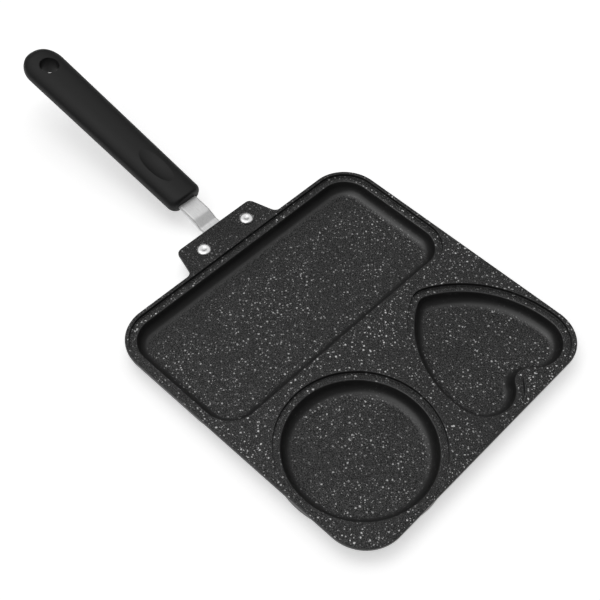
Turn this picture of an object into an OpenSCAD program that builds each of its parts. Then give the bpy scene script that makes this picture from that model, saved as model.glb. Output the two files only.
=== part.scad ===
// Divided frying pan: one cast plate with a rectangular, a round and a heart-shaped well,
// a riveted steel bracket and a moulded grip that rises away from the plate.

/* [Plate] */
// Length of each side of the square plate
plate_side = 240; // [200:1:300]
// Radius of the plate's corners, seen from above
plate_corner_r = 29.7; // [22:0.1:40]
// Thickness of the cast metal
metal_t = 2.8; // [2:0.1:4]
// Rounding of the plate's top and bottom edges
edge_r = 0.8; // [0.3:0.1:1]

/* [Wells] */
// Depth from the plate's top to the floor of each well
well_depth = 12.6; // [11:0.1:20]
// Depth of the ledge that runs round each well
ledge_depth = 2.8; // [1.5:0.1:3.5]
// Width of that ledge
ledge_w = 5.7; // [4:0.1:7]
// Metal behind the riser between plate and ledge
riser_t = 1.8; // [1.2:0.1:1.9]
// Rounding where the ledge turns down into the well
rim_r = 1.2; // [0.6:0.1:1.6]
// Slope of the wall, from upright
wall_draft = 15; // [5:1:20]
// Radius between wall and floor
floor_fillet_r = 8.4; // [4:0.1:8.6]

/* [Rectangular well] */
// Width of the well's step line, across the plate
rect_well_w = 114.5; // [90:0.5:120]
// Flat lip between the step line and the plate's edges
rect_lip_w = 2.8; // [2.4:0.1:8]
// Corner radius of the step line
rect_corner_r = 26.5; // [18:0.1:32]

/* [Round well] */
// Radius of the well's step line
round_well_r = 57.5; // [40:0.5:58]
// Flat lip between the step line and the plate's edges
round_lip_w = 2; // [1.9:0.1:8]

/* [Heart well] */
// Radius of each lobe of the step line
heart_lobe_r = 28.7; // [22:0.1:29.5]
// Distance from the heart's middle line to each lobe's centre
heart_lobe_gap = 27.6; // [24:0.1:28]
// Radius of each long side
heart_side_r = 88.8; // [84:0.1:96]
// Direction in which a long side leaves its lobe
heart_side_turn = 88; // [84:1:94]
// Rounding of the point
heart_point_r = 16; // [15.5:0.1:22]
// Rounding of the notch between the lobes
heart_notch_r = 6.9; // [4:0.1:9]
// Flat lip between the step line and the plate's edges
heart_lip_w = 3.2; // [2.4:0.1:8]

/* [Tab] */
// How far the tab stands out from the plate
tab_reach = 22.4; // [18:0.1:30]
// Width of the tab where it leaves the plate
tab_root_w = 86.6; // [70:0.1:100]
// Width of the tab at its end
tab_end_w = 73.2; // [62:0.1:80]
// Radius of the tab's corners
tab_corner_r = 5; // [2:0.1:8]
// Radius where the tab meets the plate
tab_root_r = 5; // [2:0.1:8]
// How far the tab and the whole handle sit to one side of the plate's middle line
handle_offset = 0.9; // [-10:0.1:10]

/* [Rivets] */
// Distance between the two rivets
rivet_gap = 43; // [36:0.1:46]
// Distance from the tab's end to the rivets
rivet_inset = 12.8; // [9:0.1:14]
// Radius of the rivet's shank
rivet_shank_r = 2.5; // [2:0.1:3]
// Radius of the rivet's head
rivet_head_r = 5.4; // [4.5:0.1:6]
// Height of the head
rivet_head_h = 1.7; // [1.2:0.1:2.4]
// Radius of the closed end under the bracket
rivet_tail_r = 4.2; // [3.6:0.1:5]
// Clearance round the shank
rivet_clearance = 0.05; // [0.02:0.01:0.15]

/* [Bracket] */
// Thickness of the bracket's steel
strap_t = 1.2; // [1:0.1:1.5]
// Width of the neck
neck_w = 16.8; // [14:0.1:18]
// Depth of the neck's folded edges at their deepest, by the second bend
flange_h = 3.4; // [2.6:0.1:5]
// Depth of the folded edges where the neck leaves the tab and where it enters the grip
flange_end_h = 1.9; // [1.8:0.1:2.5]
// Outer radius of the folds
fold_r = 1.6; // [1.6:0.1:1.7]
// Width of the foot under the tab
foot_w = 58; // [54:0.5:64]
// Length of the foot under the tab
foot_l = 18; // [16:0.5:20]
// Corner radius of the foot
foot_corner_r = 5; // [2:0.1:7]
// Gap between the tab's end and the first bend
bend_start = 4.2; // [3:0.1:9]
// Radius of the first bend, at mid thickness
bend_1_r = 5; // [3:0.1:8]
// Radius of the second bend, at mid thickness
bend_2_r = 7; // [4:0.1:10]
// Slope of the neck between the bends
neck_slope = 30; // [20:1:40]
// Length of the straight part between the bends
neck_l = 6; // [4:0.1:12]
// Length of the straight part from the second bend to the grip
neck_out_l = 14; // [6:0.1:16]
// Upward slope of the grip
grip_slope = 9.5; // [4:0.5:15]
// How far the tang runs below the grip's middle line
tang_drop = 0.35; // [0:0.05:2]
// Width of the tang inside the grip
tang_w = 12; // [9:0.1:13]
// Length of the tang inside the grip
tang_l = 58; // [40:1:80]

/* [Grip] */
// Length of the grip
grip_l = 180.2; // [150:0.1:210]
// Width of the grip at its front
grip_front_w = 29.4; // [27:0.1:33]
// Width of the grip near its end
grip_back_w = 33.4; // [28:0.1:36]
// Thickness of the grip at its front
grip_front_t = 16; // [15:0.1:20]
// Thickness of the grip near its end
grip_back_t = 16.5; // [15:0.1:22]
// Rounding of the front face's upper and lower edges, seen from the side
grip_nose_r = 2; // [1.5:0.1:5]
// Rounding of the front face's left and right corners, seen from above
grip_corner_r = 5.5; // [5:0.1:7]
// Length of the round end, seen from above
grip_cap_l = 18.5; // [12:0.5:24]
// Length of the thumb dish
dish_l = 36; // [20:1:50]
// Width of the thumb dish
dish_w = 16; // [10:0.5:20]
// Depth of the thumb dish
dish_depth = 2.2; // [0.8:0.1:2.4]
// Distance from the grip's front to the middle of the dish
dish_at = 35; // [28:1:60]
// Radius of the hanging hole's straight lower part
hang_hole_r = 6.7; // [4:0.1:8]
// Distance from the grip's far end to the middle of the hanging hole
hang_hole_inset = 22.4; // [20:0.1:40]
// How much wider the hole's radius is at the grip's top
hang_flare = 1; // [0.3:0.1:1.5]
// Depth of that flared upper part
hang_flare_l = 6.4; // [3:0.1:8]
// Width of the small bevel round the hole's lower edge
hang_bevel = 0.3; // [0.2:0.1:1]
// Clearance round the tang
tang_clearance = 0.15; // [0.05:0.01:0.3]

/* [Screw] */
// Radius of the screw's shank
screw_r = 1.8; // [1.4:0.1:2.2]
// Radius of the screw's head
screw_head_r = 3.6; // [3:0.1:4.2]
// Height of the screw's head
screw_head_h = 2.2; // [1.6:0.1:3]
// Distance from the grip's front to the screw
screw_at = 24; // [16:1:40]
// Reach of the screw past the tang
screw_reach = 2.6; // [1:0.1:3]
// Clearance round the screw's shank
screw_clearance = 0.1; // [0.05:0.01:0.2]

/* [Hidden] */
$fn = 96;
// How far a cutting shape runs past the face that it opens
over = 1;
// Steps in each corner of a rounded outline
corner_steps = 10;
// Heights above the ground: the plate's top, the ledge and the wells' floors
top_z = well_depth + metal_t;
ledge_z = top_z - ledge_depth;
floor_z = metal_t;
// Places along X in the plate's own frame, which is centred on the plate
plate_end_x = -plate_side / 2;
tab_end_x = plate_end_x - tab_reach;
rivet_x = tab_end_x + rivet_inset;

// The bracket's mid surface, as X and Z: out of the foot, up, on, and back to the grip's slope
foot_z = top_z - metal_t - strap_t;
bend_1_at = [tab_end_x - bend_start, foot_z + strap_t / 2];
bend_1_end = bend_1_at + bend_1_r * [-sin(neck_slope), 1 - cos(neck_slope)];
bend_2_at = bend_1_end + neck_l * [-cos(neck_slope), sin(neck_slope)];
bend_2_end = bend_2_at
    + bend_2_r * [sin(grip_slope) - sin(neck_slope), cos(grip_slope) - cos(neck_slope)];
grip_at = bend_2_end + neck_out_l * [-cos(grip_slope), sin(grip_slope)];

// The whole object's box is centred on the origin
grip_end_x = grip_at[0] - grip_l * cos(grip_slope) + tang_drop * sin(grip_slope);
shift_x = -(grip_end_x + plate_side / 2) / 2;

function arc(centre, r, from, to, steps) = [
    for (i = [0:steps])
        let (a = from + (to - from) * i / steps)
        centre + r * [cos(a), sin(a)]
];
function at_height(outline, z) = [for (p = outline) [p[0], p[1], z]];

// Rounded rectangle between two corners, pulled in by inset
function rect_outline(low, high, r, inset) =
    let (k = r - inset)
    concat(
        arc([high[0] - r, high[1] - r], k, 0, 90, corner_steps),
        arc([low[0] + r, high[1] - r], k, 90, 180, corner_steps),
        arc([low[0] + r, low[1] + r], k, 180, 270, corner_steps),
        arc([high[0] - r, low[1] + r], k, 270, 360, corner_steps)
    );

// The plate and its tab as one outline, pulled in by inset
tab_slope = atan2((tab_root_w - tab_end_w) / 2, tab_reach);
tab_root_c = [plate_end_x - tab_root_r, tab_root_w / 2 + tab_root_r * tan(45 - tab_slope / 2)];
tab_corner_c = [tab_end_x + tab_corner_r, tab_end_w / 2 - tab_corner_r * tan(45 - tab_slope / 2)];
function tab_half(inset) = concat(
    arc(tab_root_c, tab_root_r + inset, 0, tab_slope - 90, 4),
    arc(tab_corner_c, tab_corner_r - inset, 90 + tab_slope, 180, 4)
);
function plate_outline(inset) =
    let (
        half = plate_side / 2,
        square = rect_outline([-half, -half], [half, half], plate_corner_r, inset),
        tab = tab_half(inset),
        turn = 2 * (corner_steps + 1)
    )
    concat(
        [for (i = [0:turn - 1]) square[i]],
        [for (p = tab) [p[0], handle_offset + p[1]]],
        [for (i = [len(tab) - 1:-1:0]) [tab[i][0], handle_offset - tab[i][1]]],
        [for (i = [turn:2 * turn - 1]) square[i]]
    );

// Heart of tangent arcs with its point towards -X, pulled in by inset.
// The lobes' centres lie on X = 0 of the heart's own frame, and Y = 0 is its middle line.
heart_side_c = [0, heart_lobe_gap]
    - (heart_side_r - heart_lobe_r) * [cos(heart_side_turn), sin(heart_side_turn)];
heart_half_h = heart_side_c[1] + heart_side_r;
heart_point_c = [
    heart_side_c[0] - sqrt(pow(heart_side_r - heart_point_r, 2) - pow(heart_side_c[1], 2)),
    0
];
heart_notch_c = [sqrt(pow(heart_lobe_r + heart_notch_r, 2) - pow(heart_lobe_gap, 2)), 0];
heart_point_turn = atan2(-heart_side_c[1], heart_point_c[0] - heart_side_c[0]);
heart_notch_turn = atan2(-heart_lobe_gap, heart_notch_c[0]);
function heart_half(inset) = concat(
    arc(heart_notch_c, heart_notch_r + inset, 180, 180 + heart_notch_turn, 6),
    arc([0, heart_lobe_gap], heart_lobe_r - inset, heart_notch_turn, heart_side_turn, 16),
    arc(heart_side_c, heart_side_r - inset, heart_side_turn, heart_point_turn, 16),
    arc(heart_point_c, heart_point_r - inset, heart_point_turn, 180, 5)
);
function heart_outline(centre, inset) =
    let (half = heart_half(inset))
    concat(
        [for (p = half) centre + p],
        [for (i = [len(half) - 2:-1:1]) centre + [half[i][0], -half[i][1]]]
    );

// Section of a well from the floor's edge up to the plate's top: inset from the step line, height
rim_turn = 90 - wall_draft;
rim_c = [ledge_w - rim_r, ledge_z - rim_r];
rim_end = rim_c + rim_r * [cos(wall_draft), sin(wall_draft)];
wall_run = (rim_end[1] - floor_z - floor_fillet_r * (1 - sin(wall_draft))) / cos(wall_draft);
fillet_c = [
    rim_end[0] + wall_run * sin(wall_draft) + floor_fillet_r * cos(wall_draft),
    floor_z + floor_fillet_r
];
well_section = concat(
    arc(fillet_c, floor_fillet_r, 270, 180 + wall_draft, 7),
    arc(rim_c, rim_r, wall_draft, 90, 3),
    [[0, ledge_z], [0, top_z + over]]
);
// The same section one thickness of metal away, for the underside
under_ledge_z = ledge_z - metal_t;
under_ledge_in = rim_end[0] + (rim_end[1] - under_ledge_z) * tan(wall_draft) - metal_t / cos(wall_draft);
under_section = concat(
    arc(fillet_c, floor_fillet_r + metal_t, 270, 180 + wall_draft, 6),
    [
        [under_ledge_in, under_ledge_z],
        [-riser_t, under_ledge_z],
        [-riser_t, top_z - metal_t / 2]
    ]
);

// Places of the three wells
rect_low = [plate_end_x + rect_lip_w, plate_end_x + rect_lip_w];
rect_high = [rect_low[0] + rect_well_w, -rect_low[1]];
round_centre = (plate_side / 2 - round_lip_w - round_well_r) * [1, -1];
heart_centre = (plate_side / 2 - heart_lip_w) * [1, 1] - [heart_lobe_r, heart_half_h];

// Solid through a stack of outlines with as many points each, from the first up to the last
module loft(rings) {
    n = len(rings[0]);
    last = len(rings) - 1;
    polyhedron(
        points = [for (ring = rings) each ring],
        faces = concat(
            [[for (i = [0:n - 1]) i]],
            [[for (i = [n - 1:-1:0]) last * n + i]],
            [for (j = [0:last - 1], i = [0:n - 1])
                let (k = (i + 1) % n)
                each [
                    [j * n + i, (j + 1) * n + i, (j + 1) * n + k],
                    [j * n + i, (j + 1) * n + k, j * n + k]
                ]]
        )
    );
}

module well_solids(section) {
    loft([for (p = section) at_height(rect_outline(rect_low, rect_high, rect_corner_r, p[0]), p[1])]);
    loft([for (p = section) at_height(heart_outline(heart_centre, p[0]), p[1])]);
    translate([round_centre[0], round_centre[1], 0])
        rotate_extrude()
            polygon(concat(
                [for (p = section) [round_well_r - p[0], p[1]]],
                [[0, section[len(section) - 1][1]], [0, section[0][1]]]
            ));
}

module plate() {
    edge = [
        [edge_r, 0],
        [edge_r * (1 - cos(45)), edge_r * (1 - sin(45))],
        [0, edge_r],
        [0, metal_t - edge_r],
        [edge_r * (1 - cos(45)), metal_t - edge_r * (1 - sin(45))],
        [edge_r, metal_t]
    ];
    translate([0, 0, top_z - metal_t])
        loft([for (p = edge) at_height(plate_outline(p[0]), p[1])]);
}

module at_rivets() {
    for (side = [-1, 1])
        translate([rivet_x, handle_offset + side * rivet_gap / 2, 0])
            children();
}

module rivet_holes() {
    at_rivets()
        translate([0, 0, foot_z - over])
            cylinder(r = rivet_shank_r + rivet_clearance, h = strap_t + metal_t + 2 * over);
}

module pan_body() {
    color("dimgray")
        translate([shift_x, 0, 0])
            difference() {
                union() {
                    plate();
                    well_solids(under_section);
                }
                well_solids(well_section);
                rivet_holes();
            }
}

// Head with a slightly dished crown above the tab, closed end below the bracket's foot
rivet_dish = 0.4;
rivet_tail_h = 1.4;
rivet_edge_h = 0.5;
module rivets() {
    color("lightgray")
        translate([shift_x, 0, 0])
            at_rivets()
                rotate_extrude()
                    polygon([
                        [0, foot_z - rivet_tail_h],
                        [rivet_tail_r * 0.7, foot_z - rivet_tail_h],
                        [rivet_tail_r, foot_z - rivet_edge_h],
                        [rivet_tail_r, foot_z],
                        [rivet_shank_r, foot_z],
                        [rivet_shank_r, top_z],
                        [rivet_head_r, top_z],
                        [rivet_head_r, top_z + rivet_edge_h],
                        [rivet_head_r * 0.93, top_z + rivet_edge_h + (rivet_head_h - rivet_edge_h) * 0.5],
                        [rivet_head_r * 0.75, top_z + rivet_edge_h + (rivet_head_h - rivet_edge_h) * 0.9],
                        [rivet_head_r * 0.55, top_z + rivet_head_h],
                        [rivet_head_r * 0.35, top_z + rivet_head_h - rivet_dish * 0.4],
                        [rivet_head_r * 0.15, top_z + rivet_head_h - rivet_dish],
                        [0, top_z + rivet_head_h - rivet_dish]
                    ]);
}

// Channel section of the neck: flat top, folded edges, open below, with slim taken off all round.
// Pairs of side and height.
function channel(slim) =
    let (
        side = neck_w / 2 - slim,
        inner_side = neck_w / 2 - strap_t + slim,
        low = strap_t / 2 - flange_h + slim,
        fold = [neck_w / 2 - fold_r, strap_t / 2 - fold_r],
        outer_r = fold_r - slim,
        inner_r = fold_r - strap_t + slim
    )
    concat(
        [[-side, low]],
        arc([-fold[0], fold[1]], outer_r, 180, 90, 4),
        arc(fold, outer_r, 90, 0, 4),
        [[side, low], [inner_side, low]],
        arc(fold, inner_r, 0, 90, 2),
        arc([-fold[0], fold[1]], inner_r, 90, 180, 2),
        [[-inner_side, low]]
    );

// How far the neck reaches under the tab and into the grip, and how far the foot stays in
neck_hidden = 4;
neck_in_grip = 6;
foot_inset = 1.5;

// Length by which each straight run reaches into the bends beside it, and by how much it is
// slimmer than they are, so that they fuse without faces that only touch
weld = 0.3;
run_slim = 0.02;

// Straight run of the neck along -X, at the frame's origin
module neck_run(length) {
    translate([weld, 0, 0])
        rotate([90, 0, -90])
            linear_extrude(height = length + 2 * weld)
                polygon(channel(run_slim));
}

// A bend that starts at the frame's origin, about a level axis above it, or below it for side -1
module neck_bend(r, turn, side) {
    translate([0, 0, side * r])
        rotate([0, side * 90, 90])
            rotate_extrude(angle = turn)
                polygon([for (p = channel(0)) [r - side * p[1], p[0]]]);
}

// The frame at the far end of such a run or bend
module after_run(length) {
    translate([-length, 0, 0])
        children();
}
module after_bend(r, turn, side) {
    translate([-r * sin(turn), 0, side * r * (1 - cos(turn))])
        rotate([0, side * turn, 0])
            children();
}

// From under the tab to the inside of the grip
module neck() {
    hidden_l = neck_hidden + bend_start;
    turn_2 = neck_slope - grip_slope;
    translate([bend_1_at[0], handle_offset, bend_1_at[1]]) {
        translate([hidden_l, 0, 0])
            neck_run(hidden_l);
        neck_bend(bend_1_r, neck_slope, 1);
        after_bend(bend_1_r, neck_slope, 1) {
            neck_run(neck_l);
            after_run(neck_l) {
                neck_bend(bend_2_r, turn_2, -1);
                after_bend(bend_2_r, turn_2, -1)
                    neck_run(neck_out_l + neck_in_grip);
            }
        }
    }
}

// What is cut off the folded edges below, so that they are deepest by the second bend
module flange_trim() {
    rise = strap_t / 2 - flange_end_h;
    into_grip = grip_at + (neck_in_grip + over) * [-cos(grip_slope), sin(grip_slope)];
    low = bend_2_at[1] + (strap_t / 2 - flange_h) * cos(neck_slope);
    floor = foot_z - 2 * flange_h;
    translate([0, handle_offset + neck_w / 2 + over, 0])
        rotate([90, 0, 0])
            linear_extrude(height = neck_w + 2 * over)
                polygon([
                    [tab_end_x + neck_hidden + over, bend_1_at[1] + rise],
                    [bend_1_at[0], bend_1_at[1] + rise],
                    [bend_2_at[0], low],
                    [into_grip[0], into_grip[1] + rise],
                    [into_grip[0], floor],
                    [tab_end_x + neck_hidden + over, floor]
                ]);
}

// The grip's own frame: X runs from its front to its end, Z out of its top
module on_grip() {
    translate([grip_at[0], handle_offset, grip_at[1]])
        rotate([0, grip_slope, 0])
            rotate([0, 0, 180])
                children();
}

module handle_bracket() {
    foot_x = tab_end_x + foot_inset;
    color("silver")
        translate([shift_x, 0, 0])
            difference() {
                union() {
                    translate([0, 0, foot_z])
                        linear_extrude(height = strap_t)
                            polygon(rect_outline(
                                [foot_x, handle_offset - foot_w / 2],
                                [foot_x + foot_l, handle_offset + foot_w / 2],
                                foot_corner_r, 0));
                    difference() {
                        neck();
                        flange_trim();
                    }
                    on_grip()
                        translate([0, -tang_w / 2, -strap_t / 2])
                            cube([tang_l, tang_w, strap_t]);
                }
                rivet_holes();
                on_grip()
                    translate([screw_at, 0, -over - strap_t])
                        cylinder(r = screw_r + screw_clearance, h = 2 * (strap_t + over));
            }
}

// Half width and half thickness of the grip at a distance from its front
grip_end_round = grip_back_t / 2 + 1;
function grip_share(s) = s / grip_l;
function grip_half_w(s) = (grip_front_w + (grip_back_w - grip_front_w) * grip_share(s)) / 2;
function grip_half_t(s) = (grip_front_t + (grip_back_t - grip_front_t) * grip_share(s)) / 2;
oval_power = 2.4;
oval_steps = 44;
// How far a rounding of radius r pulls the surface in, at distance s from the front face
function rounding(s, r) = s < r ? r - sqrt(pow(r, 2) - pow(r - s, 2)) : 0;
function bulge(v) = sign(v) * pow(abs(v), 2 / oval_power);
function oval(s, half_w, half_t) = [
    for (i = [0:oval_steps - 1])
        let (a = 360 * i / oval_steps)
        [s, half_w * bulge(cos(a)), tang_drop + half_t * bulge(sin(a))]
];
function cap_w(s) =
    let (u = (s - grip_l + grip_cap_l) / grip_cap_l)
    u <= 0 ? 1 : sqrt(1 - u * u);
function cap_t(s) =
    let (u = (s - grip_l + grip_end_round) / grip_end_round)
    u <= 0 ? 1 : sqrt(1 - u * u);
grip_places = concat(
    [for (i = [1:8]) grip_corner_r + (grip_l - grip_cap_l - grip_corner_r) * i / 8],
    [for (a = [10:10:80]) grip_l - grip_cap_l * (1 - sin(a))],
    [grip_l - grip_cap_l * (1 - sin(87))]
);
grip_rings = concat(
    [for (i = [0:6])
        let (s = grip_corner_r * (1 - cos(90 * i / 6)))
        oval(s,
            grip_half_w(s) - rounding(s, grip_corner_r),
            grip_half_t(s) - rounding(s, grip_nose_r))],
    [for (s = grip_places) oval(s, grip_half_w(s) * cap_w(s), grip_half_t(s) * cap_t(s))]
);

// Round wheel that presses the long oval thumb dish into the grip's top
dish_wheel_r = (pow(dish_l / 2, 2) + pow(dish_depth, 2)) / (2 * dish_depth);
dish_tread_r = (pow(dish_w / 2, 2) + pow(dish_depth, 2)) / (2 * dish_depth);
module thumb_dish() {
    translate([dish_at, 0, tang_drop + grip_half_t(dish_at) - dish_depth + dish_wheel_r])
        rotate([90, 0, 0])
            rotate_extrude()
                intersection() {
                    translate([dish_wheel_r - dish_tread_r, 0])
                        circle(r = dish_tread_r);
                    translate([dish_wheel_r - dish_tread_r, -dish_w])
                        square([2 * dish_tread_r, 2 * dish_w]);
                }
}

hang_hole_at = grip_l - hang_hole_inset;
hang_half_t = grip_half_t(hang_hole_at);
module hang_hole() {
    flare_per_mm = hang_flare / hang_flare_l;
    translate([hang_hole_at, 0, tang_drop])
        rotate_extrude()
            polygon([
                [0, -hang_half_t - over],
                [hang_hole_r + hang_bevel + over, -hang_half_t - over],
                [hang_hole_r, -hang_half_t + hang_bevel],
                [hang_hole_r, hang_half_t - hang_flare_l],
                [hang_hole_r + hang_flare + over * flare_per_mm, hang_half_t + over],
                [0, hang_half_t + over]
            ]);
}

// Metal-tight slot for the tang, and the wider mouth that the neck's folded edges go into
module grip_socket() {
    slack = tang_clearance;
    translate([-over, -tang_w / 2 - slack, -strap_t / 2 - slack])
        cube([tang_l + over + slack, tang_w + 2 * slack, strap_t + 2 * slack]);
    translate([-over, -neck_w / 2 - slack, strap_t / 2 - flange_end_h - 1 - slack])
        cube([neck_in_grip + over + slack, neck_w + 2 * slack, flange_end_h + 1 + 2 * slack]);
}

screw_wall = 3.6;
screw_seat = -strap_t / 2 - screw_wall;
screw_tip = strap_t / 2 + screw_reach;
module screw_hole() {
    translate([screw_at, 0, screw_seat - over])
        cylinder(r = screw_r + screw_clearance, h = screw_tip + screw_clearance + over - screw_seat);
    translate([screw_at, 0, screw_seat - grip_back_t])
        cylinder(r = screw_head_r + 2 * screw_clearance, h = grip_back_t);
}

module handle_grip() {
    color("black")
        translate([shift_x, 0, 0])
            on_grip()
                difference() {
                    loft(grip_rings);
                    thumb_dish();
                    hang_hole();
                    grip_socket();
                    screw_hole();
                }
}

screw_slot_w = 1;
screw_slot_depth = 0.9;
module grip_screw() {
    color("silver")
        translate([shift_x, 0, 0])
            on_grip()
                translate([screw_at, 0, 0])
                    difference() {
                        union() {
                            translate([0, 0, screw_seat])
                                cylinder(r = screw_r, h = screw_tip - screw_seat);
                            translate([0, 0, screw_seat - screw_head_h])
                                cylinder(r1 = screw_head_r * 0.8, r2 = screw_head_r, h = screw_head_h);
                        }
                        for (turn = [0, 90])
                            rotate([0, 0, turn])
                                translate([-screw_head_r * 0.6, -screw_slot_w / 2, screw_seat - screw_head_h - over])
                                    cube([screw_head_r * 1.2, screw_slot_w, screw_slot_depth + over]);
                    }
}

pan_body();
handle_bracket();
rivets();
handle_grip();
grip_screw();
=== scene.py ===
"""Looks for the divided frying pan: finer pieces over the CAD solids, materials, light and camera.

Sizes are in millimetres and degrees in the plate's own frame, as in the part's source, and
turn into metres of the shared frame when a mesh is made.
"""
import math

import bpy
import bmesh
from mathutils import Matrix, Vector


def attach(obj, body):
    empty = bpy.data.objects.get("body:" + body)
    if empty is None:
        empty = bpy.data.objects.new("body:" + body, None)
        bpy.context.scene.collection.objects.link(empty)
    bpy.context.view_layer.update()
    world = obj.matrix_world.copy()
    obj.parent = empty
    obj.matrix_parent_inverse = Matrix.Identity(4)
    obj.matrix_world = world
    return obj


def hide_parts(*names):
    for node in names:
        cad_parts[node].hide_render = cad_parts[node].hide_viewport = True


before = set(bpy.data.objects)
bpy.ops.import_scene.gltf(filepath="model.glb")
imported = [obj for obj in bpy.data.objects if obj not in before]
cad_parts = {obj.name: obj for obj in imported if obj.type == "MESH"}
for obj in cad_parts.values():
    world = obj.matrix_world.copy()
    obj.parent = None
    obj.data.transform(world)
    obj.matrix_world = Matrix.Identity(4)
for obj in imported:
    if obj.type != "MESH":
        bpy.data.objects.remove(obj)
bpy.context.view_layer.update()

# Plate: side, corner radius, wall thickness and edge radius
PLATE = 240.0
PLATE_R = 29.7
METAL = 2.8
EDGE_R = 0.8

# Section that the wells share, from the lip's step to the floor
WELL_DEPTH = 12.6
LEDGE_DEPTH = 2.8
LEDGE_W = 5.7
STEP_R = 0.35
RISER_T = 1.8
RIM_R = 1.2
DRAFT = 15.0
FILLET_R = 8.4

# Rectangular and round well. A lip is the metal left between a well and the plate's edge
RECT_W = 114.5
RECT_LIP = 2.8
RECT_R = 26.5
ROUND_R = 57.5
ROUND_LIP = 2.0

# Heart well: lobes, sides, point and notch are arcs that run into one another
HEART_LIP = 3.2
LOBE_R = 28.7
LOBE_GAP = 27.6
SIDE_R = 88.8
SIDE_TURN = 88.0
POINT_R = 16.0
NOTCH_R = 6.9

# Tab, and how far the handle lies beside the plate's middle line
TAB_REACH = 22.4
TAB_ROOT_W = 86.6
TAB_END_W = 73.2
TAB_CORNER_R = 5.0
TAB_ROOT_R = 5.0
OFFSET = 0.9

# Rivets. TAIL_FLAT and HEAD_FLAT are the shares of a radius before it rounds off
RIVET_GAP = 43.0
RIVET_INSET = 12.8
SHANK_R = 2.5
SHANK_PLAY = 0.05
HEAD_R = 5.4
HEAD_H = 1.7
HEAD_EDGE_H = 0.5
HEAD_CHAMFER = 0.15
HEAD_FLAT = 0.55
TAIL_R = 4.2
TAIL_H = 1.4
TAIL_EDGE_H = 0.4
TAIL_FLAT = 0.62
# Shallow dimple in a rivet's head: shares of its radius, and depths
DIMPLE = ((0.42, 0.06), (0.28, 0.24), (0.14, 0.37), (0, 0.4))

# Bracket: strap, folded flanges, foot, bends, slopes and tang
STRAP_T = 1.2
NECK_W = 16.8
FOLD_R = 1.6
FLANGE_H = 3.4
FLANGE_END_H = 1.9
FLANGE_MOUTH_MORE = 0.4
FOOT_W = 58.0
FOOT_L = 18.0
FOOT_R = 5.0
FOOT_INSET = 1.5
NECK_ROOT = 4.0
BEND_START = 4.2
BEND_1_R = 5.0
BEND_2_R = 7.0
NECK_SLOPE = 30.0
NECK_L = 6.0
NECK_OUT_L = 14.0
NECK_SEAT = 6.0
GRIP_SLOPE = 9.5
TANG_DROP = 0.35
TANG_START = 5.0
TANG_W = 12.0
TANG_L = 58.0
TANG_GAP = 0.15
MOUTH_ROOM = 1.0

# Grip: widths and thicknesses at front and back, rounded front, end cap, thumb dish and hanging hole
GRIP_L = 180.2
FRONT_W = 29.4
BACK_W = 33.4
FRONT_T = 16.0
BACK_T = 16.5
OVAL_POWER = 2.4
NOSE_R = 2.0
CORNER_R = 5.5
CAP_L = 18.5
END_ROUND = BACK_T / 2 + 1
DISH_L = 36.0
DISH_W = 16.0
DISH_DEPTH = 2.2
DISH_AT = 35.0
HOLE_R = 6.7
HOLE_INSET = 22.4
HOLE_FLARE = 1.0
HOLE_FLARE_L = 6.4
HOLE_BEVEL = 0.3

# Screw, its counterbore and its cross recess. FLAT and CREST are shares of the head's radius
SCREW_R = 1.8
SCREW_GAP = 0.1
SCREW_HEAD_R = 3.6
SCREW_HEAD_GAP = 0.2
SCREW_HEAD_H = 2.2
SCREW_HEAD_EDGE = 0.2
SCREW_HEAD_FLAT = 0.72
SCREW_HEAD_CREST = 0.8
SCREW_AT = 24.0
SCREW_REACH = 2.6
SCREW_POINT = 0.4
SCREW_SEAT = 3.6
COUNTERBORE_L = 16.0
RECESS_L = 2.2
RECESS_W = 0.5
RECESS_DEPTH = 0.9

# How far a cutter passes the surface that it cuts
OVER = 1.0

# Derived heights and places
TOP = WELL_DEPTH + METAL
LEDGE_Z = TOP - LEDGE_DEPTH
TAB_END = -PLATE / 2 - TAB_REACH
RIVET_X = TAB_END + RIVET_INSET
FOOT_Z = TOP - METAL - STRAP_T
SEAT_Z = -STRAP_T / 2 - SCREW_SEAT
TIP_Z = STRAP_T / 2 + SCREW_REACH


def sin(a):
    return math.sin(math.radians(a))


def cos(a):
    return math.cos(math.radians(a))


# Middle line of the bracket's neck, as pairs of X and Z


def on_bend(start, r, before, slope):
    """The point of a bend where its slope has gone from before to slope. r is below 0 to bend down."""
    return start[0] - r * (sin(slope) - sin(before)), start[1] + r * (cos(before) - cos(slope))


def run(start, slope, length):
    """The end of a straight run towards the grip."""
    return start[0] - length * cos(slope), start[1] + length * sin(slope)


bend_1_at = (TAB_END - BEND_START, FOOT_Z + STRAP_T / 2)
bend_2_at = run(on_bend(bend_1_at, BEND_1_R, 0, NECK_SLOPE), NECK_SLOPE, NECK_L)
grip_at = run(on_bend(bend_2_at, -BEND_2_R, NECK_SLOPE, GRIP_SLOPE), GRIP_SLOPE, NECK_OUT_L)
grip_end_x = grip_at[0] - GRIP_L * cos(GRIP_SLOPE) + TANG_DROP * sin(GRIP_SLOPE)

# The shared frame's origin is halfway along the whole pan
SHIFT = -(grip_end_x + PLATE / 2) / 2


def to_frame(p):
    """A point of the plate's frame in millimetres, in metres of the shared frame."""
    return ((p[0] + SHIFT) / 1000, p[1] / 1000, p[2] / 1000)


def on_grip(p):
    """A point of the grip's own frame, in the plate's frame: X from the grip's front to its end."""
    s, y, z = p
    return (
        grip_at[0] - s * cos(GRIP_SLOPE) + z * sin(GRIP_SLOPE),
        OFFSET - y,
        grip_at[1] + s * sin(GRIP_SLOPE) + z * cos(GRIP_SLOPE),
    )


def at_screw(p):
    """A point of the screw's own frame, in the plate's frame."""
    return on_grip((SCREW_AT + p[0], p[1], p[2]))


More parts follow.
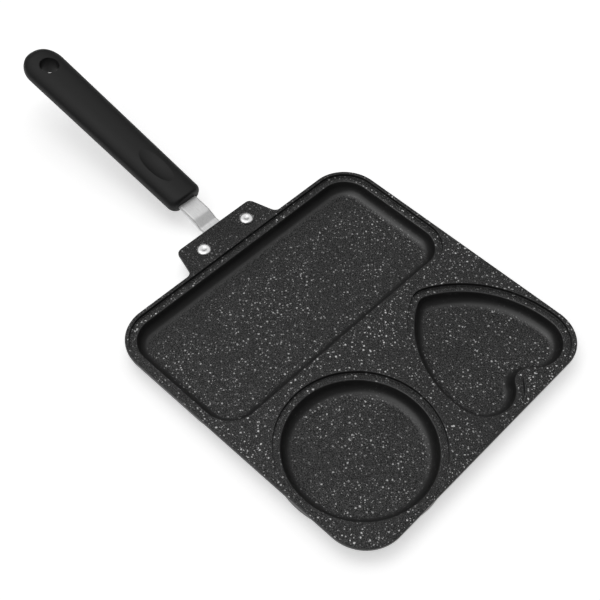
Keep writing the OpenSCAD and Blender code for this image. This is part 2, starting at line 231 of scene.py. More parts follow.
def at_rivet(side):
    """Puts points about a rivet's axis into the plate's frame. side is -1 or 1."""
    return lambda p: (RIVET_X + p[0], OFFSET + side * RIVET_GAP / 2 + p[1], p[2])


# Mesh helpers

# Points closer than this many metres become one
MERGE = 1e-7
# Shading breaks at edges this many degrees sharper than those that get a bevel
SHARP_MORE = 8
# How strongly large faces pull the shading of the bevels beside them, out of 100
FACE_WEIGHT = 60


def mesh_object(name, verts, faces):
    mesh = bpy.data.meshes.new(name)
    mesh.from_pydata([to_frame(v) for v in verts], [], faces)
    mesh.validate()
    bm = bmesh.new()
    bm.from_mesh(mesh)
    bmesh.ops.remove_doubles(bm, verts=bm.verts, dist=MERGE)
    bmesh.ops.recalc_face_normals(bm, faces=bm.faces)
    bm.to_mesh(mesh)
    bm.free()
    obj = bpy.data.objects.new(name, mesh)
    bpy.context.scene.collection.objects.link(obj)
    return obj


def loft(name, rings):
    """Closed skin through rings of as many points each."""
    n = len(rings[0])
    verts = [p for ring in rings for p in ring]
    faces = []
    for j in range(len(rings) - 1):
        for i in range(n):
            k = (i + 1) % n
            faces.append((j * n + i, j * n + k, (j + 1) * n + k, (j + 1) * n + i))
    faces.append(tuple(range(n)))
    faces.append(tuple((len(rings) - 1) * n + i for i in range(n)))
    return mesh_object(name, verts, faces)


def revolve(name, profile, place, steps=96):
    """Turns pairs of radius and height about an upright axis, then puts each point with place."""
    verts, faces, rows = [], [], []
    for r, h in profile:
        if r == 0:
            rows.append([len(verts)] * steps)
            verts.append(place((0, 0, h)))
        else:
            rows.append(list(range(len(verts), len(verts) + steps)))
            for i in range(steps):
                a = 360 * i / steps
                verts.append(place((r * cos(a), r * sin(a), h)))
    for a, b in zip(rows, rows[1:]):
        for i in range(steps):
            k = (i + 1) % steps
            face = []
            for v in (a[i], a[k], b[k], b[i]):
                if v not in face:
                    face.append(v)
            if len(face) > 2:
                faces.append(tuple(face))
    return mesh_object(name, verts, faces)


def rod(name, r, low, high, place, steps=96):
    return revolve(name, [(0, low), (r, low), (r, high), (0, high)], place, steps)


def block(name, low, high):
    """A box in the grip's own frame."""
    corners = [(x, y, z) for x in (low[0], high[0]) for y in (low[1], high[1]) for z in (low[2], high[2])]
    faces = [(0, 1, 3, 2), (4, 6, 7, 5), (0, 4, 5, 1), (2, 3, 7, 6), (0, 2, 6, 4), (1, 5, 7, 3)]
    return mesh_object(name, [on_grip(c) for c in corners], faces)


def apply_modifiers(obj):
    deps = bpy.context.evaluated_depsgraph_get()
    mesh = bpy.data.meshes.new_from_object(obj.evaluated_get(deps))
    old = obj.data
    obj.modifiers.clear()
    obj.data = mesh
    mesh.name = obj.name
    bpy.data.meshes.remove(old)


def combine(obj, others, operation):
    """Applies boolean operations and takes the tools away."""
    for other in others:
        mod = obj.modifiers.new("combine", "BOOLEAN")
        mod.operation = operation
        mod.solver = "EXACT"
        mod.object = other
        apply_modifiers(obj)
        bpy.data.objects.remove(other, do_unlink=True)


def soften(obj, sharp, bevel=0.0, segments=2):
    """Small bevels on sharp edges, smooth shading elsewhere, and flat faces kept flat."""
    if bevel:
        mod = obj.modifiers.new("edges", "BEVEL")
        mod.width = bevel / 1000
        mod.segments = segments
        mod.limit_method = "ANGLE"
        mod.angle_limit = math.radians(sharp)
        mod.harden_normals = False
        apply_modifiers(obj)
    mesh = obj.data
    mesh.shade_smooth()
    mesh.set_sharp_from_angle(angle=math.radians(sharp + SHARP_MORE))
    mod = obj.modifiers.new("normals", "WEIGHTED_NORMAL")
    mod.keep_sharp = True
    mod.weight = FACE_WEIGHT


# Outlines, the same curves as in the part's source with finer steps


def arc(cx, cy, r, start, end, steps):
    turns = [start + (end - start) * i / steps for i in range(steps + 1)]
    return [(cx + r * cos(a), cy + r * sin(a)) for a in turns]


def rect_outline(low, high, r, inset, steps=20):
    k = r - inset
    return (
        arc(high[0] - r, high[1] - r, k, 0, 90, steps)
        + arc(low[0] + r, high[1] - r, k, 90, 180, steps)
        + arc(low[0] + r, low[1] + r, k, 180, 270, steps)
        + arc(high[0] - r, low[1] + r, k, 270, 360, steps)
    )


def tab_half(inset):
    """Root and corner of the tab on its +Y side, joined by its sloping edge."""
    slope = math.degrees(math.atan2((TAB_ROOT_W - TAB_END_W) / 2, TAB_REACH))
    lean = math.tan(math.radians(45 - slope / 2))
    root_y = TAB_ROOT_W / 2 + TAB_ROOT_R * lean
    corner_y = TAB_END_W / 2 - TAB_CORNER_R * lean
    root = arc(-PLATE / 2 - TAB_ROOT_R, root_y, TAB_ROOT_R + inset, 0, slope - 90, 10)
    corner = arc(TAB_END + TAB_CORNER_R, corner_y, TAB_CORNER_R - inset, 90 + slope, 180, 10)
    return root + corner


def plate_outline(inset):
    half = PLATE / 2
    square = rect_outline((-half, -half), (half, half), PLATE_R, inset)
    tab = tab_half(inset)
    turn = len(square) // 2
    return (
        square[:turn]
        + [(p[0], OFFSET + p[1]) for p in tab]
        + [(p[0], OFFSET - p[1]) for p in reversed(tab)]
        + square[turn:]
    )


def rect_well(inset):
    low = (-PLATE / 2 + RECT_LIP, -PLATE / 2 + RECT_LIP)
    high = (low[0] + RECT_W, -low[1])
    return rect_outline(low, high, RECT_R, inset)


def round_well(inset):
    centre = PLATE / 2 - ROUND_LIP - ROUND_R
    steps = 144
    return arc(centre, -centre, ROUND_R - inset, 0, 360 - 360 / steps, steps - 1)


def heart_well(inset):
    """The half with +Y from the notch to the point, and its mirror image."""
    side_c = (-(SIDE_R - LOBE_R) * cos(SIDE_TURN), LOBE_GAP - (SIDE_R - LOBE_R) * sin(SIDE_TURN))
    half_h = side_c[1] + SIDE_R
    point_x = side_c[0] - math.sqrt((SIDE_R - POINT_R) ** 2 - side_c[1] ** 2)
    notch_x = math.sqrt((LOBE_R + NOTCH_R) ** 2 - LOBE_GAP**2)
    point_turn = math.degrees(math.atan2(-side_c[1], point_x - side_c[0]))
    notch_turn = math.degrees(math.atan2(-LOBE_GAP, notch_x))
    centre = (PLATE / 2 - HEART_LIP - LOBE_R, PLATE / 2 - HEART_LIP - half_h)
    half = (
        arc(notch_x, 0, NOTCH_R + inset, 180, 180 + notch_turn, 12)
        + arc(0, LOBE_GAP, LOBE_R - inset, notch_turn, SIDE_TURN, 40)
        + arc(side_c[0], side_c[1], SIDE_R - inset, SIDE_TURN, point_turn, 36)
        + arc(point_x, 0, POINT_R - inset, point_turn, 180, 10)
    )
    full = half + [(x, -y) for x, y in reversed(half[1:-1])]
    return [(centre[0] + x, centre[1] + y) for x, y in full]


def well_sections():
    """Surface and underside of a well, as pairs of inset from its outline and height."""
    rim_c = (LEDGE_W - RIM_R, LEDGE_Z - RIM_R)
    rim_end = (rim_c[0] + RIM_R * cos(DRAFT), rim_c[1] + RIM_R * sin(DRAFT))
    wall_run = (rim_end[1] - METAL - FILLET_R * (1 - sin(DRAFT))) / cos(DRAFT)
    fillet_c = (rim_end[0] + wall_run * sin(DRAFT) + FILLET_R * cos(DRAFT), METAL + FILLET_R)
    surface = (
        arc(fillet_c[0], fillet_c[1], FILLET_R, 270, 180 + DRAFT, 16)
        + arc(rim_c[0], rim_c[1], RIM_R, DRAFT, 90, 6)
        + arc(STEP_R, LEDGE_Z + STEP_R, STEP_R, 270, 180, 3)
        + arc(-STEP_R, TOP - STEP_R, STEP_R, 0, 90, 3)
        + [(-STEP_R, TOP + OVER)]
    )
    under_z = LEDGE_Z - METAL
    under_in = rim_end[0] + (rim_end[1] - under_z) * math.tan(math.radians(DRAFT)) - METAL / cos(DRAFT)
    underside = arc(fillet_c[0], fillet_c[1], FILLET_R + METAL, 270, 180 + DRAFT, 14) + [
        (under_in, under_z),
        (-RISER_T, under_z),
        (-RISER_T, TOP - METAL / 2),
    ]
    return surface, underside


# Pan body


def wells(section, tag):
    """One loft for each well, with the same section."""
    return [
        loft(name + tag, [[(x, y, z) for x, y in outline(inset)] for inset, z in section])
        for name, outline in (("rect_", rect_well), ("heart_", heart_well), ("round_", round_well))
    ]


def rivet_holes(name, high):
    return [rod(name, SHANK_R + SHANK_PLAY, FOOT_Z - OVER, high, at_rivet(side)) for side in (-1, 1)]


def make_pan():
    edge = [(EDGE_R * (1 - sin(a)), EDGE_R * (1 - cos(a))) for a in range(0, 91, 15)]
    edge += [(inset, METAL - z) for inset, z in reversed(edge)]
    rings = [[(x, y, TOP - METAL + z) for x, y in plate_outline(inset)] for inset, z in edge]
    pan = loft("pan_casting", rings)
    surface, underside = well_sections()
    combine(pan, wells(underside, "shell"), "UNION")
    combine(pan, wells(surface, "pocket"), "DIFFERENCE")
    combine(pan, rivet_holes("rivet_hole", TOP + OVER), "DIFFERENCE")
    soften(pan, sharp=30.0)
    return pan


# Bracket


def channel(flange):
    """Section of the neck: a strap whose edges are folded down by the flange's height."""
    half, up, inner = NECK_W / 2, STRAP_T / 2, FOLD_R - STRAP_T
    return (
        [(-half, up - flange)]
        + arc(-half + FOLD_R, up - FOLD_R, FOLD_R, 180, 90, 8)
        + arc(half - FOLD_R, up - FOLD_R, FOLD_R, 90, 0, 8)
        + [(half, up - flange), (half - STRAP_T, up - flange)]
        + arc(half - FOLD_R, up - FOLD_R, inner, 0, 90, 3)
        + arc(-half + FOLD_R, up - FOLD_R, inner, 90, 180, 3)
        + [(-half + STRAP_T, up - flange)]
    )


def neck_stations():
    """Place, slope and flange height along the neck. The flanges are deepest in the second bend."""
    steps = 12
    stations = [((TAB_END + NECK_ROOT, bend_1_at[1]), 0, FLANGE_END_H)]
    for i in range(steps + 1):
        slope = NECK_SLOPE * i / steps
        flange = FLANGE_END_H + (FLANGE_H - FLANGE_END_H) * 0.5 * i / steps
        stations.append((on_bend(bend_1_at, BEND_1_R, 0, slope), slope, flange))
    for i in range(steps + 1):
        slope = NECK_SLOPE + (GRIP_SLOPE - NECK_SLOPE) * i / steps
        stations.append((on_bend(bend_2_at, -BEND_2_R, NECK_SLOPE, slope), slope, FLANGE_H))
    stations.append((grip_at, GRIP_SLOPE, FLANGE_END_H + FLANGE_MOUTH_MORE))
    stations.append((run(grip_at, GRIP_SLOPE, NECK_SEAT), GRIP_SLOPE, FLANGE_END_H))
    return stations


def make_bracket():
    rings = [
        [(place[0] + h * sin(slope), OFFSET + y, place[1] + h * cos(slope)) for y, h in channel(flange)]
        for place, slope, flange in neck_stations()
    ]
    bracket = loft("bracket_pressing", rings)
    foot_x = TAB_END + FOOT_INSET
    low = (foot_x, OFFSET - FOOT_W / 2)
    high = (foot_x + FOOT_L, OFFSET + FOOT_W / 2)
    outline = rect_outline(low, high, FOOT_R, 0, steps=8)
    foot = loft("foot", [[(x, y, z) for x, y in outline] for z in (FOOT_Z, FOOT_Z + STRAP_T)])
    tang = block("tang", (TANG_START, -TANG_W / 2, -STRAP_T / 2), (TANG_L, TANG_W / 2, STRAP_T / 2))
    combine(bracket, [foot, tang], "UNION")
    reach = STRAP_T / 2 + OVER
    tang_hole = rod("tang_hole", SCREW_R + SCREW_GAP, -reach, reach, at_screw, steps=48)
    combine(bracket, rivet_holes("foot_hole", TOP) + [tang_hole], "DIFFERENCE")
    soften(bracket, sharp=30.0, bevel=0.15)
    return bracket


# Rivets


def rivet_profile():
    tail_flat = TAIL_R * TAIL_FLAT
    tail_round = TAIL_H - TAIL_EDGE_H
    crown = HEAD_H - HEAD_EDGE_H
    turns = range(15, 91, 15)
    return (
        [(0, FOOT_Z - TAIL_H), (tail_flat, FOOT_Z - TAIL_H)]
        + [
            (tail_flat + (TAIL_R - tail_flat) * sin(a), FOOT_Z - TAIL_EDGE_H - tail_round * cos(a))
            for a in turns
        ]
        + [(TAIL_R, FOOT_Z), (SHANK_R, FOOT_Z), (SHANK_R, TOP)]
        + [(HEAD_R - HEAD_CHAMFER, TOP), (HEAD_R, TOP + HEAD_CHAMFER), (HEAD_R, TOP + HEAD_EDGE_H)]
        + [
            (HEAD_R * (HEAD_FLAT + (1 - HEAD_FLAT) * cos(a)), TOP + HEAD_EDGE_H + crown * sin(a))
            for a in turns
        ]
        + [(HEAD_R * share, TOP + HEAD_H - depth) for share, depth in DIMPLE]
    )


def make_rivet(name, side):
    rivet = revolve(name, rivet_profile(), at_rivet(side))
    soften(rivet, sharp=45.0)
    return rivet


# Grip


def grip_half(s):
    """Half of the grip's width and of its thickness, at a distance from its front."""
    share = s / GRIP_L
    return (FRONT_W + (BACK_W - FRONT_W) * share) / 2, (FRONT_T + (BACK_T - FRONT_T) * share) / 2


def rounding(s, r):
    """How much a corner radius takes off at a distance from the front."""
    return r - math.sqrt(r**2 - (r - s) ** 2) if s < r else 0


def cap(s, length):
    """Share of the full half size that is left where the end rounds off over a length."""
    u = (s - GRIP_L + length) / length
    return 1 if u <= 0 else math.sqrt(max(0, 1 - u * u))


def bulge(c):
    """Turns a circle's sine or cosine into that of a fuller oval."""
    return math.copysign(abs(c) ** (2 / OVAL_POWER), c)


def oval(s, half_w, half_t, steps=96):
    turns = [360 * i / steps for i in range(steps)]
    return [on_grip((s, half_w * bulge(cos(a)), TANG_DROP + half_t * bulge(sin(a)))) for a in turns]


def grip_rings():
    """Ovals along the grip, closer together where its ends round off."""
    rings = []
    front_steps = 12
    for i in range(front_steps + 1):
        s = CORNER_R * (1 - cos(90 * i / front_steps))
        w, t = grip_half(s)
        rings.append(oval(s, w - rounding(s, CORNER_R), t - rounding(s, NOSE_R)))
    middle_steps = 40
    for i in range(1, middle_steps + 1):
        s = CORNER_R + (GRIP_L - CAP_L - CORNER_R) * i / middle_steps
        w, t = grip_half(s)
        rings.append(oval(s, w, t))
    for a in range(4, 89, 4):
        s = GRIP_L - CAP_L * (1 - sin(a))
        w, t = grip_half(s)
        rings.append(oval(s, w * cap(s, CAP_L), t * cap(s, END_ROUND)))
    return rings


def dish_tool():
    """Part of a wheel with a round tread, whose lowest part sinks into the grip's top."""
    wheel_r = ((DISH_L / 2) ** 2 + DISH_DEPTH**2) / (2 * DISH_DEPTH)
    tread_r = ((DISH_W / 2) ** 2 + DISH_DEPTH**2) / (2 * DISH_DEPTH)
    axle_z = TANG_DROP + grip_half(DISH_AT)[1] - DISH_DEPTH + wheel_r
    wheel_steps, wheel_half = 119, 30
    tread_steps, tread_half = 40, 70
    rings = []
    for i in range(wheel_steps + 1):
        turn = -wheel_half + 2 * wheel_half * i / wheel_steps
        ring = []
        for j in range(tread_steps + 1):
            tilt = -tread_half + 2 * tread_half * j / tread_steps
            r = wheel_r - tread_r + tread_r * cos(tilt)
            ring.append(on_grip((DISH_AT + r * sin(turn), tread_r * sin(tilt), axle_z - r * cos(turn))))
        rings.append(ring)
    return loft("dish_tool", rings)


def hole_tool():
    at = GRIP_L - HOLE_INSET
    half_t = grip_half(at)[1]
    profile = [
        (0, -half_t - OVER),
        (HOLE_R + HOLE_BEVEL + OVER, -half_t - OVER),
        (HOLE_R, -half_t + HOLE_BEVEL),
        (HOLE_R, half_t - HOLE_FLARE_L),
        (HOLE_R + HOLE_FLARE * (1 + OVER / HOLE_FLARE_L), half_t + OVER),
        (0, half_t + OVER),
    ]
    return revolve("hole_tool", profile, lambda p: on_grip((at + p[0], p[1], TANG_DROP + p[2])))


def mouth_tool():
    """Socket for the end of the neck."""
    low_z = STRAP_T / 2 - FLANGE_END_H - MOUTH_ROOM - TANG_GAP
    return block(
        "mouth_tool",
        (-OVER, -NECK_W / 2 - TANG_GAP, low_z),
        (NECK_SEAT + TANG_GAP, NECK_W / 2 + TANG_GAP, STRAP_T / 2 + TANG_GAP),
    )


def slot_tool():
    """Slot for the tang."""
    return block(
        "slot_tool",
        (-OVER, -TANG_W / 2 - TANG_GAP, -STRAP_T / 2 - TANG_GAP),
        (TANG_L + TANG_GAP, TANG_W / 2 + TANG_GAP, STRAP_T / 2 + TANG_GAP),
    )


def screw_tool():
    """Counterbore for the screw's head and bore for its shank."""
    head, bore = SCREW_HEAD_R + SCREW_HEAD_GAP, SCREW_R + SCREW_GAP
    profile = [
        (0, SEAT_Z - COUNTERBORE_L),
        (head, SEAT_Z - COUNTERBORE_L),
        (head, SEAT_Z),
        (bore, SEAT_Z),
        (bore, TIP_Z + SCREW_GAP),
        (0, TIP_Z + SCREW_GAP),
    ]
    return revolve("screw_tool", profile, at_screw, steps=64)


def make_grip():
    grip = loft("grip_moulding", grip_rings())
    tools = [dish_tool(), hole_tool(), mouth_tool(), slot_tool(), screw_tool()]
    combine(grip, tools, "DIFFERENCE")
    soften(grip, sharp=28.0, bevel=0.25, segments=3)
    return grip


# Screw


def make_screw():
    head_z = SEAT_Z - SCREW_HEAD_H
    profile = [
        (0, head_z),
        (SCREW_HEAD_R * SCREW_HEAD_FLAT, head_z),
        (SCREW_HEAD_R * SCREW_HEAD_CREST, head_z + SCREW_HEAD_EDGE),
        (SCREW_HEAD_R, SEAT_Z - SCREW_HEAD_EDGE),
        (SCREW_HEAD_R, SEAT_Z),
        (SCREW_R, SEAT_Z),
        (SCREW_R, TIP_Z - SCREW_POINT),
        (SCREW_R - SCREW_POINT, TIP_Z),
        (0, TIP_Z),
    ]
    screw = revolve("screw_body", profile, at_screw, steps=64)
    recess = [
        block(
            "recess",
            (SCREW_AT - half_x, -half_y, head_z - OVER),
            (SCREW_AT + half_x, half_y, head_z + RECESS_DEPTH),
        )
        for half_x, half_y in ((RECESS_L, RECESS_W), (RECESS_W, RECESS_L))
    ]
    combine(screw, recess, "DIFFERENCE")
    soften(screw, sharp=30.0, bevel=0.06)
    return screw


# Pieces

pan = make_pan()
bracket = make_bracket()
rivet_left = make_rivet("rivet_left", -1)
rivet_right = make_rivet("rivet_right", 1)
grip = make_grip()
screw = make_screw()
# Each piece, the solid that it stands for and its material slot
pieces = (
    (pan, "pan_body", "coating"),
    (bracket, "handle_bracket", "bracket_steel"),
    (rivet_left, "rivets", "rivet_metal"),
    (grip, "handle_grip", "grip_plastic"),
    (screw, "grip_screw", "screw_steel"),
    (rivet_right, "rivets", "rivet_metal"),
)
for piece, node, slot_name in pieces:
    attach(piece, "root")
    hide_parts(node)


# Node helpers


class Tree:
    """The nodes of one material or of the world, with short ways to add and join them."""

    def __init__(self, tree):
        self.tree = tree

    def find(self, kind):
        return next(node for node in self.tree.nodes if node.type == kind)

    def feed(self, node, sockets):
        """Joins other nodes' outputs to a node's sockets, or sets constants on them."""
        for key, value in sockets.items():
            if isinstance(value, bpy.types.NodeSocket):
                self.tree.links.new(value, node.inputs[key])
            else:
                node.inputs[key].default_value = value

    def add(self, kind, sockets=None, **settings):
        """A new node, with its settings and with what its sockets take."""
        node = self.tree.nodes.new(kind)
        for key, value in settings.items():
            setattr(node, key, value)
        self.feed(node, sockets or {})
        return node

    def millimetres(self, stretch=(1000.0, 1000.0, 1000.0)):
        """The piece's own coordinates in millimetres, stretched where other factors are given."""
        place = self.add("ShaderNodeTexCoord").outputs["Object"]
        return self.add("ShaderNodeMapping", {"Vector": place, "Scale": stretch}).outputs["Vector"]

    def axes(self, vector):
        return self.add("ShaderNodeSeparateXYZ", {"Vector": vector}).outputs

    def noise(self, coords, scale, detail, roughness=0.5):
        sockets = {"Vector": coords, "Scale": scale, "Detail": detail, "Roughness": roughness}
        return self.add("ShaderNodeTexNoise", sockets).outputs["Fac"]

    def maths(self, operation, a, b=None, clamp=False):
        sockets = {0: a} if b is None else {0: a, 1: b}
        return self.add("ShaderNodeMath", sockets, operation=operation, use_clamp=clamp).outputs[0]

    def around(self, value, base, swing):
        """A base amount and up to swing more, as another value goes from 0 to 1."""
        return self.maths("ADD", self.maths("MULTIPLY", value, swing), base)

    def ramp(self, value, *stops):
        """Grey that follows a value between two stops, each with its place and its grey."""
        node = self.add("ShaderNodeValToRGB", {"Fac": value})
        for element, (place, grey) in zip(node.color_ramp.elements, stops):
            element.position = place
            element.color = (grey, grey, grey, 1)
        return node.outputs["Color"]

    def fade(self, value, start, end, low=0.0, high=1.0, curve="LINEAR"):
        """Goes from low to high while a value goes from start to end."""
        sockets = {"Value": value, "From Min": start, "From Max": end, "To Min": low, "To Max": high}
        return self.add("ShaderNodeMapRange", sockets, interpolation_type=curve).outputs["Result"]

    def blend(self, factor, a, b, **settings):
        sockets = {"Factor": factor, "A": a, "B": b}
        return self.add("ShaderNodeMix", sockets, **settings).outputs["Result"]

    def bump(self, height, strength, distance):
        sockets = {"Height": height, "Strength": strength, "Distance": distance}
        return self.add("ShaderNodeBump", sockets).outputs["Normal"]


def new_material(name):
    material = bpy.data.materials.new(name)
    material.use_nodes = True
    tree = Tree(material.node_tree)
    return material, tree, tree.find("BSDF_PRINCIPLED")


# Materials

# Specks of the coating: cell that holds one, largest radius, darkest and lightest grey
SPECKS = (
    (0.95, 0.38, 0.04, 0.2),
    (1.6, 0.52, 0.1, 0.7),
    (2.9, 0.8, 0.5, 1.0),
)
# A speck's smallest radius as a share of its largest, and the width of its soft edge
SPECK_SMALLEST = 0.4
SPECK_EDGE = 0.15
# Greys of the coating's ground and of its grain
GROUND_DARK = 0.0115
GROUND_LIGHT = 0.0145
GRAIN_GREY = 0.028
# Share of the specks and grain left on the tab, and where they thin out, from the plate's end
TAB_SPECKS = 0.3
TAB_FADE = (-4.0, 6.0)
# Painted shadow of the rectangular well's wall on the grip's side, made by thinning the specks there:
# share of the specks beside the wall and out on its floor, and where they thicken, from the well's edge
SHADOW_SPECKS = 0.1
FLOOR_SPECKS = 0.95
SHADOW_FADE = (15.0, 27.0)
# Where the ledges begin to count as raised above the wells, from their own height
LEDGE_FADE = (-2.0, -1.0)


def ragged(tree, coords, reach):
    """Coordinates pushed about by a fine noise, so that specks get uneven outlines."""
    noise = tree.add("ShaderNodeTexNoise", {"Vector": coords, "Scale": 1.3, "Detail": 1.0})
    sockets = {0: noise.outputs["Color"], 1: (reach, reach, reach), 2: coords}
    return tree.add("ShaderNodeVectorMath", sockets, operation="MULTIPLY_ADD").outputs["Vector"]


def specks(tree, coords, cell, size):
    """Specks of random size round scattered points: from 0 outside to 1 inside, and a random shade."""
    cells = tree.add("ShaderNodeTexVoronoi", {"Vector": coords, "Scale": 1.0 / cell, "Randomness": 1.0})
    chance = tree.add("ShaderNodeSeparateColor", {"Color": cells.outputs["Color"]}).outputs
    largest = size / cell
    smallest = SPECK_SMALLEST * largest
    radius = tree.around(chance["Green"], base=smallest, swing=largest - smallest)
    inside = tree.maths("SUBTRACT", radius, cells.outputs["Distance"])
    return tree.maths("DIVIDE", inside, SPECK_EDGE / cell, clamp=True), chance["Blue"]


def coating_material():
    material, tree, bsdf = new_material("speckled_coating")
    mm = tree.millimetres()
    place = tree.axes(mm)
    plate_end = SHIFT - PLATE / 2
    # Specks and grain thin out on steep walls, partly because the spray falls from above and partly as
    # painted shade that darkens the walls; they thin out on the tab as well
    facing = tree.axes(tree.add("ShaderNodeNewGeometry").outputs["Normal"])["Z"]
    level = tree.ramp(facing, (0.86, 0.06), (0.998, 1.0))
    beyond = tree.fade(place["X"], plate_end + TAB_FADE[0], plate_end + TAB_FADE[1], low=TAB_SPECKS)
    reach = tree.maths("MULTIPLY", level, beyond)
    # Charcoal ground with slow, faint clouds and a fine grain
    clouds = tree.noise(mm, scale=0.045, detail=3.0, roughness=0.55)
    ground = tree.ramp(clouds, (0.3, GROUND_DARK), (0.7, GROUND_LIGHT))
    grain = tree.noise(mm, scale=1.1, detail=2.0, roughness=0.6)
    grain = tree.ramp(grain, (0.46, 0.0), (0.74, GRAIN_GREY))
    # The grain follows reach, so steep walls lose it and come out darker than the floors: painted shade
    colour = tree.blend(reach, ground, grain, data_type="RGBA", blend_type="ADD")
    # The specks lie in drifts, and thinner beside the rectangular well's wall on the grip's side: a
    # painted shadow of that wall, which leaves the floor darker there
    drift = tree.noise(mm, scale=0.028, detail=2.0, roughness=0.6)
    reach = tree.maths("MULTIPLY", reach, tree.ramp(drift, (0.36, 0.3), (0.54, 1.0)))
    raised = tree.fade(place["Z"], LEDGE_Z + LEDGE_FADE[0], LEDGE_Z + LEDGE_FADE[1])
    thin, thick = (plate_end + RECT_LIP + x for x in SHADOW_FADE)
    painted_wall_shadow = tree.fade(place["X"], thin, thick, low=SHADOW_SPECKS, high=FLOOR_SPECKS)
    reach = tree.maths("MULTIPLY", reach, tree.maths("MAXIMUM", raised, painted_wall_shadow))
    # Many small grey specks, fewer middling ones and scattered bright ones
    uneven = ragged(tree, mm, 1.2)
    for cell, size, darkest, lightest in SPECKS:
        mask, shade = specks(tree, uneven, cell, size)
        mask = tree.maths("MULTIPLY", mask, reach)
        tint = tree.ramp(shade, (0.0, darkest), (1.0, lightest))
        colour = tree.blend(mask, colour, tint, data_type="RGBA")
    # Orange-peel film of the sprayed coating, with matt pores where it lies thick and none on slopes
    peel = tree.noise(mm, scale=0.9, detail=3.0, roughness=0.5)
    pores = tree.noise(mm, scale=1.5, detail=2.0, roughness=0.6)
    pores = tree.ramp(pores, (0.42, 0.0), (0.6, 0.66))
    sockets = {
        "Base Color": colour,
        "Roughness": tree.around(clouds, base=0.29, swing=0.14),
        "Specular IOR Level": tree.blend(level, 0.95, pores),
        "Normal": tree.bump(peel, strength=0.12, distance=0.0002),
    }
    tree.feed(bsdf, sockets)
    return material


def steel_material(name, grey, rough, stretch, strength=0.05):
    """Metal with fine lines drawn along the direction of least stretch, or an even grain."""
    material, tree, bsdf = new_material(name)
    lines = tree.noise(tree.millimetres(stretch), scale=1.0, detail=4.0, roughness=0.65)
    patches = tree.noise(tree.millimetres(), scale=0.25, detail=2.0)
    swing = 0.12
    sockets = {
        "Base Color": tree.ramp(lines, (0.3, grey * 0.9), (0.7, min(1, grey * 1.06))),
        "Metallic": 1.0,
        "Roughness": tree.around(patches, base=rough - swing / 2, swing=swing),
        "Normal": tree.bump(lines, strength, distance=0.0001),
    }
    tree.feed(bsdf, sockets)
    return material


def grip_material():
    """Matt plastic with the fine spark-eroded grain of the mould."""
    material, tree, bsdf = new_material("matte_grip")
    mm = tree.millimetres()
    clouds = tree.noise(mm, scale=0.05, detail=3.0)
    grain = tree.noise(mm, scale=2.6, detail=3.0, roughness=0.7)
    sockets = {
        "Base Color": tree.ramp(clouds, (0.3, 0.008), (0.7, 0.011)),
        "Roughness": tree.around(clouds, base=0.46, swing=0.1),
        "Specular IOR Level": 0.3,
        "Normal": tree.bump(grain, strength=0.18, distance=0.00012),
    }
    tree.feed(bsdf, sockets)
    return material


ALL_WAYS = (900.0, 900.0, 900.0)
materials = {
    "pan_body": coating_material(),
    "handle_bracket": steel_material("satin_steel", 0.825, 0.58, (40.0, 1500.0, 1500.0)),
    "rivets": steel_material("rivet_aluminium", 0.86, 0.26, ALL_WAYS, strength=0.03),
    "grip_screw": steel_material("zinc_steel", 0.5, 0.35, ALL_WAYS),
    "handle_grip": grip_material(),
}
for piece, node, slot_name in pieces:
    piece.data.materials.clear()
    piece.data.materials.append(materials[node])
for node, material in materials.items():
    for material_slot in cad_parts[node].material_slots:
        material_slot.material = material


# Floor

# Half its side in metres, its grey, and how much it glows for the camera and in reflections
FLOOR_HALF = 40.0
FLOOR_GREY = 0.92
FLOOR_SEEN_GLOW = 0.5
FLOOR_MIRRORED_GLOW = 0.35


def floor_material():
    """Paper white with its shadow, for the camera and for the metal and plastic that mirror it."""
    material, tree, bsdf = new_material("pale_floor")
    path = tree.add("ShaderNodeLightPath").outputs
    seen = tree.maths("MULTIPLY", path["Is Camera Ray"], FLOOR_SEEN_GLOW)
    mirrored = tree.maths("MULTIPLY", path["Is Glossy Ray"], FLOOR_MIRRORED_GLOW)
    sockets = {
        "Base Color": (FLOOR_GREY, FLOOR_GREY, FLOOR_GREY, 1),
        "Roughness": 0.9,
        "Specular IOR Level": 0.1,
        "Emission Color": (1, 1, 1, 1),
        "Emission Strength": tree.maths("ADD", seen, mirrored),
    }
    tree.feed(bsdf, sockets)
    return material


def make_floor():
    corners = [(x * FLOOR_HALF, y * FLOOR_HALF, 0) for x, y in ((-1, -1), (1, -1), (1, 1), (-1, 1))]
    floor_mesh = bpy.data.meshes.new("floor")
    floor_mesh.from_pydata(corners, [], [(0, 1, 2, 3)])
    floor = bpy.data.objects.new("floor", floor_mesh)
    bpy.context.scene.collection.objects.link(floor)
    floor.data.materials.append(floor_material())


make_floor()


# Light

# A soft lamp, in metres and watts
LAMP_AT = Vector((-0.35, -0.1, 1.5))
LAMP_SIZE = 0.8
LAMP_POWER = 2.8
# A wide soft panel overhead in a dark room, longer from front to back than across. Its middle, its
# half length and its soft edge are shares of its height above the pan
PANEL_ACROSS = (-0.32, 0.84, 0.3)
PANEL_DEEP = (-0.2, 1.4, 0.4)
ROOM_GREY = 0.08
PANEL_GREY = 0.76
ROOM_STRENGTH = 1.15


def make_lamp():
    """A square lamp that looks at the origin."""
    data = bpy.data.lights.new("top_light", "AREA")
    data.shape = "SQUARE"
    data.size = LAMP_SIZE
    data.energy = LAMP_POWER
    lamp = bpy.data.objects.new("top_light", data)
    lamp.location = LAMP_AT
    lamp.rotation_euler = (-LAMP_AT).to_track_quat("-Z", "Y").to_euler()
    bpy.context.scene.collection.objects.link(lamp)


def within(tree, along, height, middle, half, blur):
    """1 where a direction passes inside the panel's reach along one axis, fading out round its edge."""
    off = tree.maths("SUBTRACT", tree.maths("DIVIDE", along, height), middle)
    off = tree.maths("ABSOLUTE", off)
    return tree.fade(off, half - blur, half + blur, low=1.0, high=0.0, curve="SMOOTHSTEP")


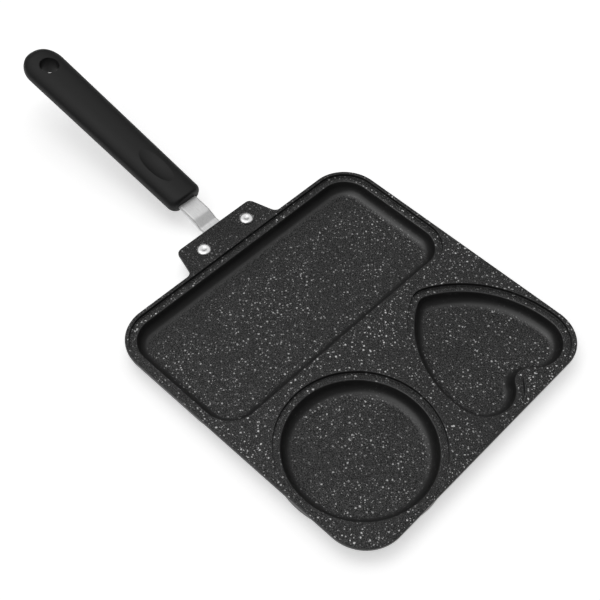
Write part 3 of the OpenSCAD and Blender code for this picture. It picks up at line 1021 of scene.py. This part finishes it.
def make_world():
    """The room with its panel for the pan, and plain white for the camera."""
    world = bpy.data.worlds.new("studio")
    bpy.context.scene.world = world
    world.use_nodes = True
    tree = Tree(world.node_tree)
    way = tree.axes(tree.add("ShaderNodeTexCoord").outputs["Generated"])
    # Directions at or below the horizon count as just above it
    height = tree.maths("MAXIMUM", way["Z"], 0.02)
    across = within(tree, way["X"], height, *PANEL_ACROSS)
    deep = within(tree, way["Y"], height, *PANEL_DEEP)
    panel = tree.maths("MULTIPLY", across, deep)
    grey = tree.ramp(panel, (0.0, ROOM_GREY), (1.0, PANEL_GREY))
    room = tree.find("BACKGROUND")
    tree.feed(room, {"Color": grey, "Strength": ROOM_STRENGTH})
    white = tree.add("ShaderNodeBackground", {"Color": (1, 1, 1, 1), "Strength": 1.0})
    camera_ray = tree.add("ShaderNodeLightPath").outputs["Is Camera Ray"]
    sockets = {"Fac": camera_ray, 1: room.outputs[0], 2: white.outputs[0]}
    mix = tree.add("ShaderNodeMixShader", sockets)
    tree.feed(tree.find("OUTPUT_WORLD"), {"Surface": mix.outputs[0]})


make_lamp()
make_world()
bpy.context.scene.view_settings.view_transform = "Standard"


# Camera, fitted to the photograph

# Place and aim, as seen from the middle of the plate's top, and roll in radians
EYE = (257.36, -350.11, 614.94)
AIM = (-23.355, 15.561, 0.0)
ROLL = 0.108267
# Side of the photograph, focal length and middle of the lens in its pixels, and a sensor's width
PICTURE = 600
FOCAL = 1085.0
LENS_X = 344.893
LENS_Y = 305.044
SENSOR = 36.0


def above_top(p):
    """A point seen from the middle of the plate's top, in metres of the shared frame."""
    return Vector(to_frame((p[0], p[1], p[2] + TOP)))


def make_camera():
    eye = above_top(EYE)
    forward = (above_top(AIM) - eye).normalized()
    right = forward.cross(Vector((0, 0, 1))).normalized()
    up = right.cross(forward)
    rolled_right = right * math.cos(ROLL) + up * math.sin(ROLL)
    rolled_up = up * math.cos(ROLL) - right * math.sin(ROLL)
    turned = Matrix((rolled_right, rolled_up, -forward)).transposed()
    data = bpy.data.cameras.new("camera")
    data.sensor_width = SENSOR
    data.lens = FOCAL / PICTURE * SENSOR
    data.shift_x = (PICTURE / 2 - LENS_X) / PICTURE
    data.shift_y = (LENS_Y - PICTURE / 2) / PICTURE
    data.clip_start = 0.01
    data.clip_end = 50
    camera = bpy.data.objects.new("camera", data)
    camera.matrix_world = Matrix.Translation(eye) @ turned.to_4x4()
    bpy.context.scene.collection.objects.link(camera)
    bpy.context.scene.camera = camera


make_camera()
